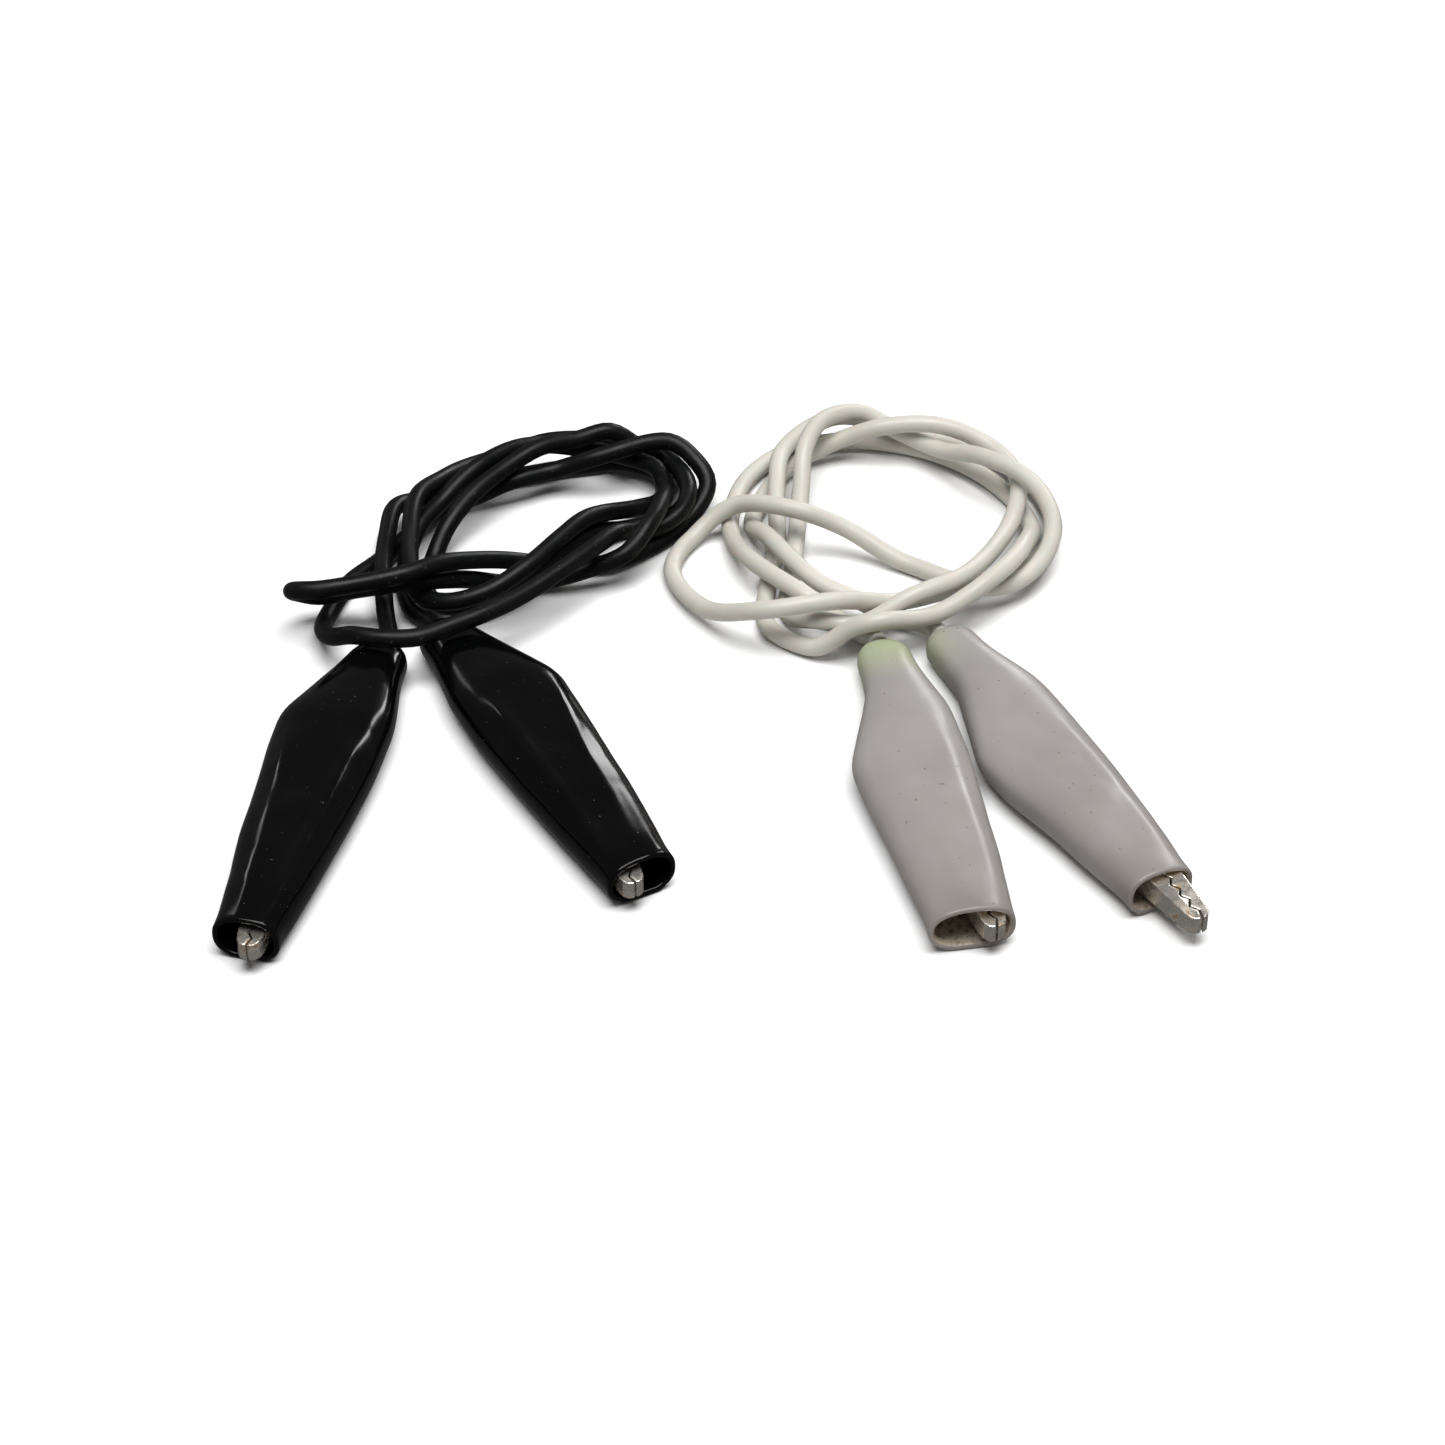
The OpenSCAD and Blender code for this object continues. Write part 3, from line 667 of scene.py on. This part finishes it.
def white_jacket():
    m = Material("white_jacket", Subsurface_Weight=0.25, Subsurface_Scale=0.5 * MM)
    cloud = m.ramp(m.noise(9.0, 3.0), 0.3, 0.7)
    clean = m.mix(cloud, (0.46, 0.445, 0.39), (0.52, 0.505, 0.45))
    speck = m.ramp(m.noise(0.5, 2.0, 0.7), 0.70, 0.77)
    m.colour(m.mix(m.maths("MULTIPLY", speck, 0.5), clean, (0.35, 0.30, 0.24)))
    m.roughness(m.ramp(m.noise(3.0), 0.3, 0.7, 0.36, 0.5))
    m.bump(m.noise(0.6, 3.0), 0.03, 0.4)
    return m.material


def nickel_steel():
    m = Material("nickel_steel")
    stain = m.ramp(m.noise(1.3, 4.0, 0.6), 0.53, 0.68)
    m.colour(m.mix(stain, (0.80, 0.755, 0.68), (0.26, 0.175, 0.105)))
    rough = m.ramp(m.noise(1.5, 1.0), 0.3, 0.7, 0.18, 0.30)
    m.roughness(m.maths("ADD", rough, m.maths("MULTIPLY", stain, 0.2)))
    shine = m.maths("SUBTRACT", 0.92, m.maths("MULTIPLY", stain, 0.5))
    m.link(shine, m.shader.inputs["Metallic"])
    m.bump(m.noise(0.5, 2.0), 0.015, 0.3, edge=0.2)
    return m.material


def plain_metal(name, low, high, size, rough):
    """A metal clouded between two colours, in clouds about size millimetres wide."""
    m = Material(name, Metallic=1.0)
    m.colour(m.mix(m.ramp(m.noise(size, 3.0), 0.3, 0.7), low, high))
    m.roughness(m.ramp(m.noise(size / 2), 0.3, 0.7, rough, rough + 0.18))
    m.bump(m.noise(size / 3), 0.02, 0.5)
    return m.material


def floor_material():
    m = Material("bench", Roughness=0.6)
    m.colour(m.mix(m.noise(60.0), (0.85, 0.85, 0.85), (0.87, 0.87, 0.868)))
    m.bump(m.noise(1.5), 0.02, 0.2)
    return m.material


MATERIALS = {
    "black_vinyl": black_vinyl(),
    "white_vinyl": white_vinyl(),
    "black_jacket": black_jacket(),
    "white_jacket": white_jacket(),
    "nickel_steel": nickel_steel(),
    "spring_steel": plain_metal("spring_steel", (0.42, 0.41, 0.39), (0.55, 0.54, 0.52), 1.0, 0.25),
    "solder": plain_metal("solder", (0.45, 0.45, 0.46), (0.62, 0.62, 0.63), 0.8, 0.4),
    "copper": plain_metal("copper", (0.55, 0.27, 0.14), (0.80, 0.45, 0.28), 0.8, 0.3),
}


def dress(obj, slot):
    obj.data.materials.clear()
    obj.data.materials.append(MATERIALS[slot])


WELD_DISTANCE = 0.002
EDGE_ROUNDING = 0.14
EDGE_SEGMENTS = 3
SHARP_FROM = 35


def round_edges(obj):
    """The burnished edges of a stamping, which the CAD solid leaves sharp."""
    weld = obj.modifiers.new("weld", "WELD")
    weld.merge_threshold = WELD_DISTANCE * MM
    bevel = obj.modifiers.new("round", "BEVEL")
    bevel.width = EDGE_ROUNDING * MM
    bevel.segments = EDGE_SEGMENTS
    bevel.limit_method = "ANGLE"
    bevel.angle_limit = math.radians(SHARP_FROM)


for entry in frame["record"]["subparts"]:
    node = frame["nodes"][entry["node"]]
    dress(node, entry["material_slot"])
    if entry["node"].endswith("_jaw"):
        round_edges(node)
for colour, cable in cables.items():
    dress(cable, colour + "_jacket")
for clip in CLIPS:
    dress(boots[clip.name], clip.colour + "_vinyl")
    dress(springs[clip.name], "spring_steel")

# ---- bench ---------------------------------------------------------------------------------

FLOOR_HALF = 1.5
FLOOR_DROP = 0.04 * MM
corners = (-1, -1), (1, -1), (1, 1), (-1, 1)
floor = mesh_object(
    "bench_top",
    [(x * FLOOR_HALF, y * FLOOR_HALF, -FLOOR_DROP) for x, y in corners],
    [(0, 1, 2, 3)],
)
floor.data.materials.append(floor_material())
floor.visible_glossy = False

# ---- boots and springs baked in place ------------------------------------------------------

# Beside the rivet, on the moving jaw's side: the start and end places given for each boot
BEND_START, BEND_END = -1.5, -5.8
for clip in CLIPS:
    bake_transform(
        boots[clip.name],
        clip.colour + "_lead",
        clip.name + "_jaw",
        start=tuple(clip.in_boot(clip.rivet, BEND_START, CLIP_HEIGHT) * MM),
        end=tuple(clip.in_boot(clip.rivet, BEND_END, CLIP_HEIGHT) * MM),
    )
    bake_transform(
        springs[clip.name],
        clip.colour + "_lead",
        clip.name + "_jaw",
        start=tuple(clip.in_clip(0, -1.4) * MM),
        end=tuple(clip.in_clip(0, -2.4) * MM),
    )
